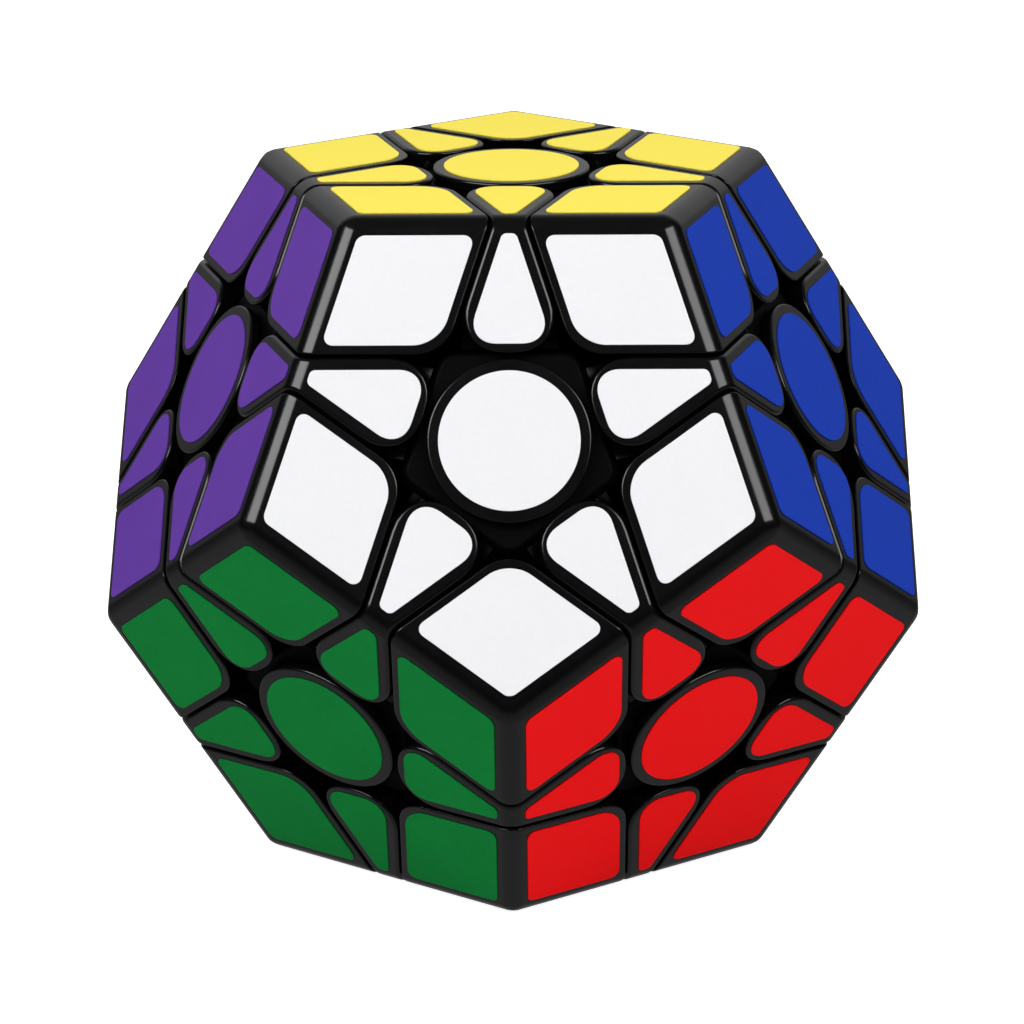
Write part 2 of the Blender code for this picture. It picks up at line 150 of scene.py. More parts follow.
def turned(profile, steps, ease, name):
    """A solid spun round Z from (radius, height) points, with its rims and corners eased."""
    bm = bmesh.new()
    verts = [bm.verts.new((radius, 0.0, height)) for radius, height in profile]
    line = [bm.edges.new(pair) for pair in zip(verts, verts[1:])]
    bmesh.ops.spin(
        bm, geom=verts + line, cent=(0.0, 0.0, 0.0), axis=(0.0, 0.0, 1.0), angle=FULL_TURN, steps=steps,
        use_merge=True)
    bmesh.ops.remove_doubles(bm, verts=bm.verts, dist=SAME_PLACE)
    bmesh.ops.recalc_face_normals(bm, faces=bm.faces)
    rims = [edge for edge in bm.edges if edge.calc_face_angle(0.0) > TURNED_RIM]
    bevel(bm, rims, ease, segments=3)
    return mesh_from(bm, name)


def joined(meshes, name):
    """Several meshes as one, each left where it is."""
    bm = bmesh.new()
    for mesh in meshes:
        bm.from_mesh(mesh)
    return mesh_from(bm, name)


def copy_at(mesh, place):
    """A copy of a mesh, at its place."""
    copy = mesh.copy()
    copy.transform(place)
    return copy


def baked(thing, name):
    """The mesh of an object once its modifiers are applied; the object goes."""
    bpy.context.view_layer.update()
    shaped = thing.evaluated_get(bpy.context.evaluated_depsgraph_get())
    mesh = bpy.data.meshes.new_from_object(shaped)
    mesh.name = name
    bpy.data.objects.remove(thing, do_unlink=True)
    return mesh


def placed_in_scene(name, mesh):
    thing = bpy.data.objects.new(name, mesh)
    bpy.context.scene.collection.objects.link(thing)
    return thing


def moulded(name, body, *others):
    """One solid from a mesh and (operation, mesh) pairs; its flats shade flat and its rounds smooth."""
    blank = placed_in_scene(name, body)
    tools = []
    for operation, mesh in others:
        tool = placed_in_scene(name, mesh)
        step = blank.modifiers.new(operation.lower(), "BOOLEAN")
        step.operation = operation
        step.solver = "EXACT"
        step.object = tool
        tools.append(tool)
    mesh = baked(blank, name)
    for tool in tools:
        bpy.data.objects.remove(tool, do_unlink=True)
    mesh.shade_smooth()
    mesh.set_sharp_from_angle(angle=SHARP_EDGE)
    blank = placed_in_scene(name, mesh)
    even = blank.modifiers.new("even_shading", "WEIGHTED_NORMAL")
    even.keep_sharp = True
    mesh = baked(blank, name)
    mesh.materials.clear()
    return mesh


class Value:
    """One output of a node. Arithmetic on it adds Math nodes."""

    def __init__(self, nodes, socket):
        self.nodes = nodes
        self.socket = socket

    def maths(self, operation, first, second):
        return self.nodes.node("ShaderNodeMath", {"operation": operation}, {0: first, 1: second})

    def __add__(self, other):
        return self.maths("ADD", self, other)

    def __radd__(self, other):
        return self.maths("ADD", other, self)

    def __sub__(self, other):
        return self.maths("SUBTRACT", self, other)

    def __rsub__(self, other):
        return self.maths("SUBTRACT", other, self)

    def __mul__(self, other):
        return self.maths("MULTIPLY", self, other)

    def __rmul__(self, other):
        return self.maths("MULTIPLY", other, self)


class Nodes:
    """A tree of shader nodes, and the one way to add a node to it."""

    def __init__(self, tree):
        self.tree = tree

    def node(self, kind, settings, inputs, output=0):
        made = self.tree.nodes.new(kind)
        for name, value in settings.items():
            setattr(made, name, value)
        for name, value in inputs.items():
            self.feed(made.inputs[name], value)
        return Value(self, made.outputs[output])

    def feed(self, socket, value):
        if isinstance(value, Value):
            self.tree.links.new(value.socket, socket)
        else:
            socket.default_value = value

    def ramp(self, value, from_low, from_high, to_low, to_high):
        """Maps a range of a value to another, and holds at its ends."""
        return self.node(
            "ShaderNodeMapRange", {"clamp": True}, {
                "Value": value, "From Min": from_low, "From Max": from_high, "To Min": to_low,
                "To Max": to_high})


class Finish(Nodes):
    """A material in the making."""

    def __init__(self, name, roughness, metallic=0.0, specular=0.5):
        self.material = bpy.data.materials.new(name)
        self.material.use_nodes = True
        super().__init__(self.material.node_tree)
        self.shader = self.tree.nodes["Principled BSDF"]
        self.wear(Roughness=roughness, Metallic=metallic, Specular_IOR_Level=specular)

    def wear(self, **inputs):
        """Feeds the shader's own sockets; an underscore in a name stands for a space."""
        for name, value in inputs.items():
            self.feed(self.shader.inputs[name.replace("_", " ")], value)

    def speckle(self, grain_size, detail=2.0, seed=0.0):
        """Even noise from 0 to 1, with features of about grain_size metres."""
        place = self.node("ShaderNodeTexCoord", {}, {}, "Object")
        shifted = self.node(
            "ShaderNodeVectorMath", {"operation": "ADD"}, {0: place, 1: (seed, 2.0 * seed, -seed)})
        return self.node(
            "ShaderNodeTexNoise", {}, {"Vector": shifted, "Scale": 0.5 / grain_size, "Detail": detail})

    def spread(self, noise, low, high):
        """Stretches the middle half of a noise over low..high."""
        return self.ramp(noise, 0.25, 0.75, low, high)

    def mix(self, factor, first, second):
        """Two colours mixed: they go in at sockets 6 and 7 of the node, and come out at 2."""
        return self.node("ShaderNodeMix", {"data_type": "RGBA"}, {0: factor, 6: first, 7: second}, 2)

    def relief(self, height, depth):
        """A surface normal from a 0 to 1 height that stands depth metres proud."""
        return self.node(
            "ShaderNodeBump", {}, {"Height": height, "Strength": 1.0, "Distance": depth}, "Normal")


def grained_plastic(name, colour, roughness, grain_depth, specular=0.5):
    """A moulded plastic: a fine grain from the mould, and patches that are more and less polished."""
    made = Finish(name, roughness, specular=specular)
    grain = made.speckle(GRAIN_SIZE)
    polish = made.speckle(POLISH_SIZE, detail=3.0, seed=0.3)
    lighter = tuple(min(1.0, GRAIN_LIGHTER * part) for part in colour[:3]) + (1.0,)
    smoother = roughness - POLISH_SWING
    rougher = roughness + POLISH_SWING
    made.wear(
        Base_Color=made.mix(made.spread(grain, 0.0, 1.0), colour, lighter),
        Roughness=made.spread(polish, smoother, rougher) + GRAIN_ROUGHER * grain,
        Normal=made.relief(grain, grain_depth))
    return made.material


def finish_piece(name, mesh, material, body, slot, *nodes):
    """Puts a piece into the scene, on its CAD body and in place of its CAD nodes."""
    mesh.materials.clear()
    mesh.materials.append(material)
    piece = placed_in_scene(name, mesh)
    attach(piece, body)
    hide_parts(*nodes)
    return piece


def core_mesh():
    arm = turned(
        [(0.0, ARM_ROOT), (ARM_ROOT_RADIUS, ARM_ROOT), (ARM_RADIUS, ARM_NECK), (ARM_RADIUS, ARM_TIP),
         (0.0, ARM_TIP)], ROUND_STEPS, ARM_EASE, "arm")
    bore_end = ARM_TIP + CUTTER_OVERRUN
    bore = turned(
        [(0.0, SCREW_BORE_FLOOR), (SCREW_BORE, SCREW_BORE_FLOOR), (SCREW_BORE, bore_end), (0.0, bore_end)],
        ROUND_STEPS // 2, SCREW_BORE_EASE, "bore")
    bm = bmesh.new()
    bmesh.ops.create_icosphere(bm, subdivisions=4, radius=HUB_RADIUS)
    hub = mesh_from(bm, "hub")
    places = [centre_place(face) for face in AXES]
    arms = joined([copy_at(arm, place) for place in places], "arms")
    bores = joined([copy_at(bore, place) for place in places], "bores")
    return moulded("core", hub, ("UNION", arms), ("DIFFERENCE", bores))


ROOT_BODY = "core_and_fixed_layers"

core_nylon = grained_plastic("core_nylon", CORE_COLOUR, roughness=0.42, grain_depth=0.006 * MM)
finish_piece("moulded_core", core_mesh(), core_nylon, ROOT_BODY, "core_plastic", "core")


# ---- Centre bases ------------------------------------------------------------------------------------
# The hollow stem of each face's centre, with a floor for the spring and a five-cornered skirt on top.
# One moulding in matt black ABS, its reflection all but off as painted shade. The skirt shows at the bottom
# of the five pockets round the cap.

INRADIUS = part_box("yellow_centre")[1].z           # from the puzzle's centre to a face
SEAM_FROM_CENTRE = 7.884 * MM                     # a seam's line on a face, from the face's centre
CUT_DEPTH = INRADIUS * math.cos(FACE_ANGLE) + SEAM_FROM_CENTRE * math.sin(FACE_ANGLE)
LAYER_CONE = math.radians(50.0)                   # the cone that a turning layer sweeps inside the puzzle
CONE_CLEARANCE = math.radians(0.38)
SHELL_TOP = 31.8 * MM                             # outer radius of the shell that holds the pieces' feet
CLEARANCE = 0.2 * MM                              # of each piece from the surface between two pieces

BASE_FLOOR = 15.0 * MM
BASE_FLOOR_THICKNESS = 2.0 * MM
BASE_RADIUS = 4.8 * MM
BASE_BORE = 3.4 * MM
BASE_EASE = 0.15 * MM
BASE_BORE_EASE = 0.12 * MM
SCREW_CLEARANCE_HOLE = 1.65 * MM
SKIRT_THICKNESS = 1.0 * MM
SKIRT_CORNER_WIDTH = 1.0 * MM
SKIRT_EASE = 0.22 * MM
EASED_EDGE = math.radians(40.0)                   # a skirt or a foot is eased where it bends more than this

BLACK = (0.0012, 0.0012, 0.0013, 1.0)
black_plastic = grained_plastic("black_abs", BLACK, roughness=0.185, grain_depth=0.0025 * MM)
# Unpolished black for the hidden bases, with its reflection also turned almost off so the pockets read dark:
# painted shade.
matt_plastic_dimmed_as_shade = grained_plastic(
    "matt_black_abs_dimmed_as_pocket_shade", BLACK, roughness=0.46, grain_depth=0.007 * MM, specular=0.04)


def skirt_mesh():
    """The five-cornered plate, inside the five neighbouring cuts. +X faces one of them."""
    bottom = SHELL_TOP + CLEARANCE

    def corner_radius(height):
        flat = (CUT_DEPTH - CLEARANCE - height * math.cos(FACE_ANGLE)) / math.sin(FACE_ANGLE)
        return flat / math.cos(FACE_STEP / 2.0)

    bm = bmesh.new()
    bmesh.ops.create_cone(
        bm, cap_ends=True, segments=5, radius1=corner_radius(bottom),
        radius2=corner_radius(bottom + SKIRT_THICKNESS), depth=SKIRT_THICKNESS)
    first = bm.verts[:][0].co
    turn = FACE_STEP / 2.0 - math.atan2(first.y, first.x)
    bmesh.ops.rotate(bm, matrix=Matrix.Rotation(turn, 3, "Z"), verts=bm.verts)
    bmesh.ops.translate(bm, vec=(0.0, 0.0, bottom + SKIRT_THICKNESS / 2.0), verts=bm.verts)
    uprights = [
        edge for edge in bm.edges if abs(edge.verts[0].co.z - edge.verts[1].co.z) > SKIRT_THICKNESS / 2.0]
    bevel(bm, uprights, SKIRT_CORNER_WIDTH, segments=6)
    rims = [edge for edge in bm.edges if edge.calc_face_angle(0.0) > EASED_EDGE]
    bevel(bm, rims, SKIRT_EASE, segments=3)
    return mesh_from(bm, "skirt")


def base_mesh():
    flare = math.tan(FACE_ANGLE - LAYER_CONE - CONE_CLEARANCE)
    top = SHELL_TOP + CLEARANCE + SKIRT_THICKNESS
    flare_start = BASE_RADIUS / flare
    flare_end = SHELL_TOP - 2.0 * CLEARANCE
    flare_radius = flare * flare_end
    column = turned(
        [(0.0, BASE_FLOOR), (BASE_RADIUS, BASE_FLOOR), (BASE_RADIUS, flare_start), (flare_radius, flare_end),
         (flare_radius, top - SKIRT_EASE), (0.0, top - SKIRT_EASE)], ROUND_STEPS, BASE_EASE, "column")
    floor_top = BASE_FLOOR + BASE_FLOOR_THICKNESS
    bore_start = BASE_FLOOR - CUTTER_OVERRUN
    bore_end = top + CUTTER_OVERRUN
    bore = turned(
        [(0.0, bore_start), (SCREW_CLEARANCE_HOLE, bore_start), (SCREW_CLEARANCE_HOLE, floor_top),
         (BASE_BORE, floor_top), (BASE_BORE, bore_end), (0.0, bore_end)], ROUND_STEPS, BASE_BORE_EASE,
        "bore")
    return moulded("base", column, ("UNION", skirt_mesh()), ("DIFFERENCE", bore))


def body_of(names):
    """The CAD body that a piece of these faces turns with."""
    return next((name + "_layer" for name in names if name + "_layer" in frame["bodies"]), ROOT_BODY)


def centre_node(face, part):
    """The CAD node of a centre's part. Where a face can't turn, one node holds the whole centre."""
    node = face + "_" + part
    return node if node in frame["nodes"] else face + "_centre"


base = base_mesh()
for face in AXES:
    finish_piece(
        face + "_base", copy_at(base, centre_place(face)), matt_plastic_dimmed_as_shade, body_of([face]), "black_plastic",
        centre_node(face, "centre_base"))


# ---- Springs -----------------------------------------------------------------------------------------
# A compression spring of round steel wire in each centre's stem, from the stem's floor up to the screw's
# head. It is coiled, with its last turns closed, and it presses the face onto the core.

SPRING_RADIUS = 2.35 * MM
SPRING_WIRE = 0.3 * MM
SPRING_BOTTOM = BASE_FLOOR + BASE_FLOOR_THICKNESS
SCREW_HEAD_BOTTOM = 22.6 * MM
CLOSED_TURNS = 1                                  # at each end
OPEN_TURNS = 3
STEPS_PER_TURN = 24
WIRE_SIDES = 12

SPRING_COLOUR = (0.42, 0.42, 0.44, 1.0)
MARK_SIZE = 0.08 * MM                             # of the fine marks on steel
MARK_DEPTH = 0.002 * MM
MARK_SMOOTHER = 0.06                              # how far the marks bring its roughness down and up
MARK_ROUGHER = 0.10
STAIN_SIZE = 1.5 * MM                             # of its darker patches
STAIN_SHADE = 0.72


def steel(name, colour, roughness):
    """Bare or plated steel with fine drawing marks."""
    made = Finish(name, roughness, metallic=1.0)
    marks = made.speckle(MARK_SIZE, detail=3.0)
    stains = made.speckle(STAIN_SIZE, seed=0.7)
    darker = tuple(STAIN_SHADE * part for part in colour[:3]) + (1.0,)
    made.wear(
        Base_Color=made.mix(made.spread(stains, 0.0, 1.0), darker, colour),
        Roughness=made.spread(marks, roughness - MARK_SMOOTHER, roughness + MARK_ROUGHER),
        Normal=made.relief(marks, MARK_DEPTH))
    return made.material


def spring_mesh():
    low = SPRING_BOTTOM + SPRING_WIRE
    high = SCREW_HEAD_BOTTOM - SPRING_WIRE
    closed_rise = 2.0 * SPRING_WIRE * CLOSED_TURNS
    open_rise = high - low - 2.0 * closed_rise
    bm = bmesh.new()
    ring = bmesh.ops.create_circle(bm, cap_ends=True, segments=WIRE_SIDES, radius=SPRING_WIRE)["verts"]
    bmesh.ops.rotate(bm, matrix=Matrix.Rotation(math.pi / 2.0, 3, "X"), verts=ring)
    bmesh.ops.translate(bm, vec=(SPRING_RADIUS, 0.0, low), verts=ring)
    end = bm.faces[:] + bm.edges[:] + bm.verts[:]
    windings = ((CLOSED_TURNS, closed_rise), (OPEN_TURNS, open_rise), (CLOSED_TURNS, closed_rise))
    for turns, rise in windings:
        steps = turns * STEPS_PER_TURN
        end = bmesh.ops.spin(
            bm, geom=end, cent=(0.0, 0.0, 0.0), axis=(0.0, 0.0, 1.0), angle=FULL_TURN * turns, steps=steps,
            dvec=(0.0, 0.0, rise / steps))["geom_last"]
    bmesh.ops.remove_doubles(bm, verts=bm.verts, dist=SAME_PLACE)
    inside = [face for face in bm.faces if len(face.verts) == WIRE_SIDES and not is_end(face, low, high)]
    bmesh.ops.delete(bm, geom=inside, context="FACES_ONLY")
    return moulded("spring", mesh_from(bm, "spring_wire"))


def is_end(face, low, high):
    """Whether a face closes the wire at one of its two ends."""
    height = face.calc_center_median().z
    return min(abs(height - low), abs(height - high)) < SAME_PLACE


spring = spring_mesh()
spring_steel = steel("spring_wire", SPRING_COLOUR, roughness=0.34)
for face in AXES:
    finish_piece(
        face + "_coil_spring", copy_at(spring, centre_place(face)), spring_steel, ROOT_BODY, "spring_steel",
        centre_node(face, "spring"))


# ---- Screws ------------------------------------------------------------------------------------------
# A zinc-plated machine screw holds each centre to its arm of the core: a rolled thread, a wide pan head
# that also serves as the spring's washer, and a pressed cross recess.

SCREW_RADIUS = 1.3 * MM
SCREW_FOOT = 6.6 * MM
SCREW_HEAD_RADIUS = 2.9 * MM
SCREW_HEAD_TOP = 24.8 * MM
SCREW_HEAD_SLOPE = 1.3 * MM                       # how far below the top its sloping side starts
SCREW_HEAD_CROWN = 0.62                           # radius of its flat top, as a part of the head's
SCREW_POINT = 0.5                                 # radius of its blunt end, as a part of the shank's
SCREW_EASE = 0.18 * MM
THREAD_PITCH = 0.7 * MM
THREAD_DEPTH = 0.25 * MM
THREAD_END = 14.0 * MM
THREAD_FOOT = 0.42                                # half of the ridge's width at its foot, in pitches
THREAD_CREST = 0.05                               # and at its crest
RECESS_WIDTH = 0.8 * MM
RECESS_LENGTH = 3.4 * MM
RECESS_DEPTH = 1.3 * MM
RECESS_TAPER = 0.55                               # its size at the bottom, as a part of that at the top

ZINC_COLOUR = (0.62, 0.62, 0.64, 1.0)


def thread_mesh():
    """A ridge that winds up the shank, narrow at its crest, with its foot buried in the shank."""
    turns = int((THREAD_END - SCREW_FOOT - 2.0 * THREAD_PITCH) / THREAD_PITCH)
    steps = turns * STEPS_PER_TURN
    bm = bmesh.new()
    inner = SCREW_RADIUS - 2.0 * THREAD_DEPTH
    start = SCREW_FOOT + THREAD_PITCH
    points = (
        (inner, -THREAD_FOOT), (SCREW_RADIUS, -THREAD_CREST), (SCREW_RADIUS, THREAD_CREST),
        (inner, THREAD_FOOT))
    verts = [bm.verts.new((radius, 0.0, start + rise * THREAD_PITCH)) for radius, rise in points]
    section = bm.faces.new(verts)
    bmesh.ops.spin(
        bm, geom=[section], cent=(0.0, 0.0, 0.0), axis=(0.0, 0.0, 1.0), angle=FULL_TURN * turns, steps=steps,
        dvec=(0.0, 0.0, THREAD_PITCH / STEPS_PER_TURN), use_duplicate=False)
    return mesh_from(bm, "thread")


def screw_mesh():
    shank = SCREW_RADIUS - THREAD_DEPTH
    head_edge = SCREW_HEAD_TOP - SCREW_HEAD_SLOPE
    crown = SCREW_HEAD_CROWN * SCREW_HEAD_RADIUS
    body = turned(
        [(0.0, SCREW_FOOT), (SCREW_POINT * shank, SCREW_FOOT), (shank, SCREW_FOOT + shank),
         (shank, SCREW_HEAD_BOTTOM), (SCREW_HEAD_RADIUS, SCREW_HEAD_BOTTOM), (SCREW_HEAD_RADIUS, head_edge),
         (crown, SCREW_HEAD_TOP), (0.0, SCREW_HEAD_TOP)], ROUND_STEPS, SCREW_EASE, "screw_body")
    recess = []
    for width, length in ((RECESS_WIDTH, RECESS_LENGTH), (RECESS_LENGTH, RECESS_WIDTH)):
        bm = bmesh.new()
        bmesh.ops.create_cube(bm, size=1.0)
        bmesh.ops.scale(bm, vec=(width, length, 2.0 * RECESS_DEPTH), verts=bm.verts)
        low = [vert for vert in bm.verts if vert.co.z < 0.0]
        bmesh.ops.scale(bm, vec=(RECESS_TAPER, RECESS_TAPER, 1.0), verts=low)
        bmesh.ops.translate(bm, vec=(0.0, 0.0, SCREW_HEAD_TOP), verts=bm.verts)
        recess.append(("DIFFERENCE", mesh_from(bm, "recess")))
    return moulded("screw", body, ("UNION", thread_mesh()), *recess)


screw = screw_mesh()
plated_steel = steel("zinc_plate", ZINC_COLOUR, roughness=0.26)
for face in AXES:
    finish_piece(
        face + "_steel_screw", copy_at(screw, centre_place(face)), plated_steel, ROOT_BODY, "screw_steel",
        centre_node(face, "screw"))


# ---- Edge pieces -------------------------------------------------------------------------------------
# Thirty two-sided wedges in black ABS, narrow outside and wide inside, each with a tapered foot.
# The foot is hooked under the two centres and the corners beside it, so the piece can't fall out.

STICKER_THICKNESS = 0.12 * MM
SKIN = INRADIUS - STICKER_THICKNESS               # depth of the bare plastic on a face
SEAM_HALF = 0.17 * MM                             # of each wall from a seam's middle
OUTER_ROUND = 2.1 * MM                            # on the puzzle's outer edges
OUTLINE_EASE = 0.28 * MM                          # between a piece's skin and its walls
EDGE_SETBACK = 0.11 * MM                          # extra room between an edge piece and the cap
EDGE_SHOULDER = 3.0 * MM
FOOT_FLOOR = 22.0 * MM
EDGE_TILT = FACE_ANGLE / 2.0                      # from an edge's middle to its two face axes
END_TILT = math.acos(math.cos(FACE_ANGLE) / math.cos(EDGE_TILT))   # to the two face axes beyond its ends
FOOT_CORNER_MARGIN = math.radians(0.45)
FOOT_EASE = 0.6 * MM
NECK_OVERLAP = 1.0 * MM
SKIN_RISE = 0.5                                   # a skin's normal points up by more than this
SKIN_LEAN = 0.3                                   # and towards the piece's ends by less than this


def tilted(tilt, azimuth):
    """Unit vector at an angle from +Z, turned from +X towards +Y."""
    return Vector((math.sin(tilt) * math.cos(azimuth), math.sin(tilt) * math.sin(azimuth), math.cos(tilt)))


def lies_on(edge, normals, depth):
    """Whether an edge lies in one of the planes at this depth along the normals."""
    return any(
        all(abs(normal.dot(vert.co) - depth) < SAME_PLACE for vert in edge.verts) for normal in normals)


def ease_outline(bm, is_skin):
    """Rounds the sharp line between a piece's skin and its walls."""
    outline = [
        edge for edge in bm.edges
        if len(edge.link_faces) == 2 and is_skin(edge.link_faces[0]) != is_skin(edge.link_faces[1])]
    bevel(bm, outline, OUTLINE_EASE, segments=4)


def edge_wedge(sides, ends):
    """The block of an edge piece: two skins, two inner walls, two end walls and a flat bottom."""
    inner = CUT_DEPTH + SEAM_HALF + EDGE_SETBACK
    end_depth = CUT_DEPTH - SEAM_HALF
    bm = bmesh.new()
    bmesh.ops.create_cube(bm, size=1.0)
    for vert in bm.verts:
        depths = [inner if half < 0.0 else SKIN for half in vert.co[:2]]
        vert.co = Vector(depths + [vert.co.z * INRADIUS])
    shear = Matrix((sides[0], sides[1], Vector((0.0, 1.0, 0.0)))).inverted()
    bmesh.ops.transform(bm, matrix=shear.to_4x4(), verts=bm.verts)
    cuts = [(end * end_depth, end) for end in ends]
    cuts.append((Vector((0.0, 0.0, SHELL_TOP + CLEARANCE)), Vector((0.0, 0.0, -1.0))))
    for point, normal in cuts:
        everything = bm.verts[:] + bm.edges[:] + bm.faces[:]
        cut = bmesh.ops.bisect_plane(
            bm, geom=everything, dist=SAME_PLACE / 10.0, plane_co=point, plane_no=normal, clear_outer=True)
        rim = [part for part in cut["geom_cut"] if isinstance(part, bmesh.types.BMEdge)]
        bmesh.ops.holes_fill(bm, edges=rim, sides=0)
    ridge = [edge for edge in bm.edges if all(lies_on(edge, [side], SKIN) for side in sides)]
    shoulders = [edge for edge in bm.edges if lies_on(edge, sides, inner) and lies_on(edge, ends, end_depth)]
    bevel(bm, ridge, OUTER_ROUND * math.tan(EDGE_TILT), segments=7)
    shoulders = [edge for edge in shoulders if edge.is_valid]
    bevel(bm, shoulders, EDGE_SHOULDER / math.tan(EDGE_TILT), segments=9)
    bmesh.ops.recalc_face_normals(bm, faces=bm.faces)
    ease_outline(bm, lambda face: face.normal.z > SKIN_RISE and abs(face.normal.y) < SKIN_LEAN)
    return mesh_from(bm, "edge_wedge")


def edge_stem():
    """The tapered foot under an edge piece and the neck that carries it."""
    inner = CUT_DEPTH + CLEARANCE + EDGE_SETBACK
    along = math.tan(END_TILT - LAYER_CONE - CONE_CLEARANCE)
    across = math.tan(LAYER_CONE - EDGE_TILT - CONE_CLEARANCE - FOOT_CORNER_MARGIN)
    top = (SHELL_TOP - CLEARANCE) / math.sqrt(1.0 + along ** 2 + across ** 2)
    neck_top = SHELL_TOP + NECK_OVERLAP

    def half_width(height):
        return (height * math.cos(EDGE_TILT) - inner) / math.sin(EDGE_TILT)

    outline = [
        (across * FOOT_FLOOR, FOOT_FLOOR), (across * top, top), (half_width(top), top),
        (half_width(neck_top), neck_top)]
    outline += [(-x, z) for x, z in reversed(outline)]
    bm = bmesh.new()
    near = bm.faces.new([bm.verts.new((x, -along, z)) for x, z in outline])
    far = bmesh.ops.extrude_face_region(bm, geom=[near])["geom"]
    grown = [part for part in far if isinstance(part, bmesh.types.BMVert)]
    bmesh.ops.translate(bm, vec=(0.0, 2.0 * along, 0.0), verts=grown)
    for vert in bm.verts:
        vert.co.y *= vert.co.z
    bmesh.ops.recalc_face_normals(bm, faces=bm.faces)
    corners = [edge for edge in bm.edges if edge.calc_face_angle_signed(0.0) > EASED_EDGE]
    low = [edge for edge in corners if max(vert.co.z for vert in edge.verts) < top + SAME_PLACE]
    bevel(bm, low, FOOT_EASE, segments=4)
    return mesh_from(bm, "edge_stem")


TIED_MOULDINGS = (
    "yellow_orange_purple_corner_and_edges", "orange_purple_sky_corner_and_edges",
    "orange_grey_sky_corner_and_edges", "purple_sky_green_corner_and_edges",
    "blue_red_pink_corner_and_edges")


def node_of(names, kind):
    """The CAD node of a corner or an edge: its own, or the first tied moulding that holds its faces."""
    own = "_".join(names) + "_" + kind
    if own in frame["nodes"]:
        return own
    return next(tied for tied in TIED_MOULDINGS if set(names) <= set(tied.split("_")))


def piece_place(names):
    """Where a corner or an edge piece modelled along +Z goes."""
    return facing(sum((AXES[name] for name in names), Vector()), AXES[names[0]])


def face_pairs():
    """The two faces of each of the thirty edge pieces."""
    order = list(AXES)
    return [(a, b) for a in order for b in order[order.index(a) + 1:] if b in neighbours(a)]


edge_sides = [tilted(EDGE_TILT, 0.0), tilted(EDGE_TILT, math.pi)]
edge_ends = [tilted(END_TILT, math.pi / 2.0), tilted(END_TILT, -math.pi / 2.0)]
edge_piece = moulded("edge", edge_wedge(edge_sides, edge_ends), ("UNION", edge_stem()))
for names in face_pairs():
    finish_piece(
        "_".join(names) + "_edge_piece", copy_at(edge_piece, piece_place(names)), black_plastic,
        body_of(names), "black_plastic", node_of(names, "edge"))


# ---- Corner pieces -----------------------------------------------------------------------------------
# Twenty three-sided blocks in black ABS. The tip next to each cap is a wide round, and the outer edges
# are rounded over. A round foot is hooked under the three edge pieces beside it.

CORNER_TILT = math.asin(2.0 / math.sqrt(3.0) * math.sin(EDGE_TILT))   # from a vertex to its three axes
CORNER_TIP_ROUND = 4.3 * MM
CORNER_FOOT_EASE = 0.5 * MM


def corner_block():
    """The block of a corner piece: three skins and three inner walls."""
    normals = [tilted(CORNER_TILT, FULL_TURN / 3.0 * turn) for turn in range(3)]
    inner = CUT_DEPTH + SEAM_HALF
    span = SKIN - inner
    bm = bmesh.new()
    bmesh.ops.create_cube(bm, size=1.0)
    bmesh.ops.translate(bm, vec=(0.5, 0.5, 0.5), verts=bm.verts)
    bmesh.ops.scale(bm, vec=(span, span, span), verts=bm.verts)
    bmesh.ops.translate(bm, vec=(inner, inner, inner), verts=bm.verts)
    bmesh.ops.transform(bm, matrix=Matrix(normals).inverted().to_4x4(), verts=bm.verts)

    def edges_at(depth):
        return [edge for edge in bm.edges if sum(lies_on(edge, [normal], depth) for normal in normals) == 2]

    rims = edges_at(SKIN)
    tips = edges_at(inner)
    bevel(bm, rims, OUTER_ROUND * math.tan(EDGE_TILT), segments=7)
    tips = [edge for edge in tips if edge.is_valid]
    bevel(bm, tips, CORNER_TIP_ROUND * math.tan(EDGE_TILT), segments=9)
    bmesh.ops.recalc_face_normals(bm, faces=bm.faces)
    ease_outline(bm, lambda face: face.normal.z > 0.0)
    return mesh_from(bm, "corner_block")


def corner_foot():
    half_angle = LAYER_CONE - CORNER_TILT - CONE_CLEARANCE
    slope = math.tan(half_angle)
    top = (SHELL_TOP - CLEARANCE) * math.cos(half_angle)
    return turned(
        [(0.0, FOOT_FLOOR), (FOOT_FLOOR * slope, FOOT_FLOOR), (top * slope, top), (0.0, top)], ROUND_STEPS,
        CORNER_FOOT_EASE, "corner_foot")


def face_triples():
    """The three faces of each of the twenty corner pieces."""
    order = list(AXES)
    return [
        (a, b, c) for a, b in face_pairs() for c in order[order.index(b) + 1:]
        if c in neighbours(a) and c in neighbours(b)]


corner_piece = moulded("corner", corner_block(), ("UNION", corner_foot()))
for names in face_triples():
    finish_piece(
        "_".join(names) + "_corner_piece", copy_at(corner_piece, piece_place(names)), black_plastic,
        body_of(names), "black_plastic", node_of(names, "corner"))


# ---- Caps --------------------------------------------------------------------------------------------
# A round black lid with an eased rim closes each centre over the head of its screw.
# It is pressed in by a hollow plug, so it comes off to set the screw.

CAP_RADIUS = 7.75 * MM
CAP_THICKNESS = 1.1 * MM
CAP_EASE = 0.25 * MM
PLUG_RADIUS = BASE_BORE - 2.0 * CLEARANCE
PLUG_DEPTH = 2.4 * MM
PLUG_WALL = 0.8 * MM


def cap_mesh():
    bottom = SKIN - CAP_THICKNESS
    hollow = PLUG_RADIUS - PLUG_WALL
    plug_end = bottom - PLUG_DEPTH
    blank = turned(
        [(0.0, bottom), (hollow, bottom), (hollow, plug_end), (PLUG_RADIUS, plug_end), (PLUG_RADIUS, bottom),
         (CAP_RADIUS, bottom), (CAP_RADIUS, SKIN), (0.0, SKIN)], 2 * ROUND_STEPS, CAP_EASE, "cap_blank")
    return moulded("cap", blank)


cap = cap_mesh()
for face in AXES:
    finish_piece(
        face + "_cap", copy_at(cap, centre_place(face)), black_plastic, body_of([face]), "black_plastic",
        centre_node(face, "centre_cap"))


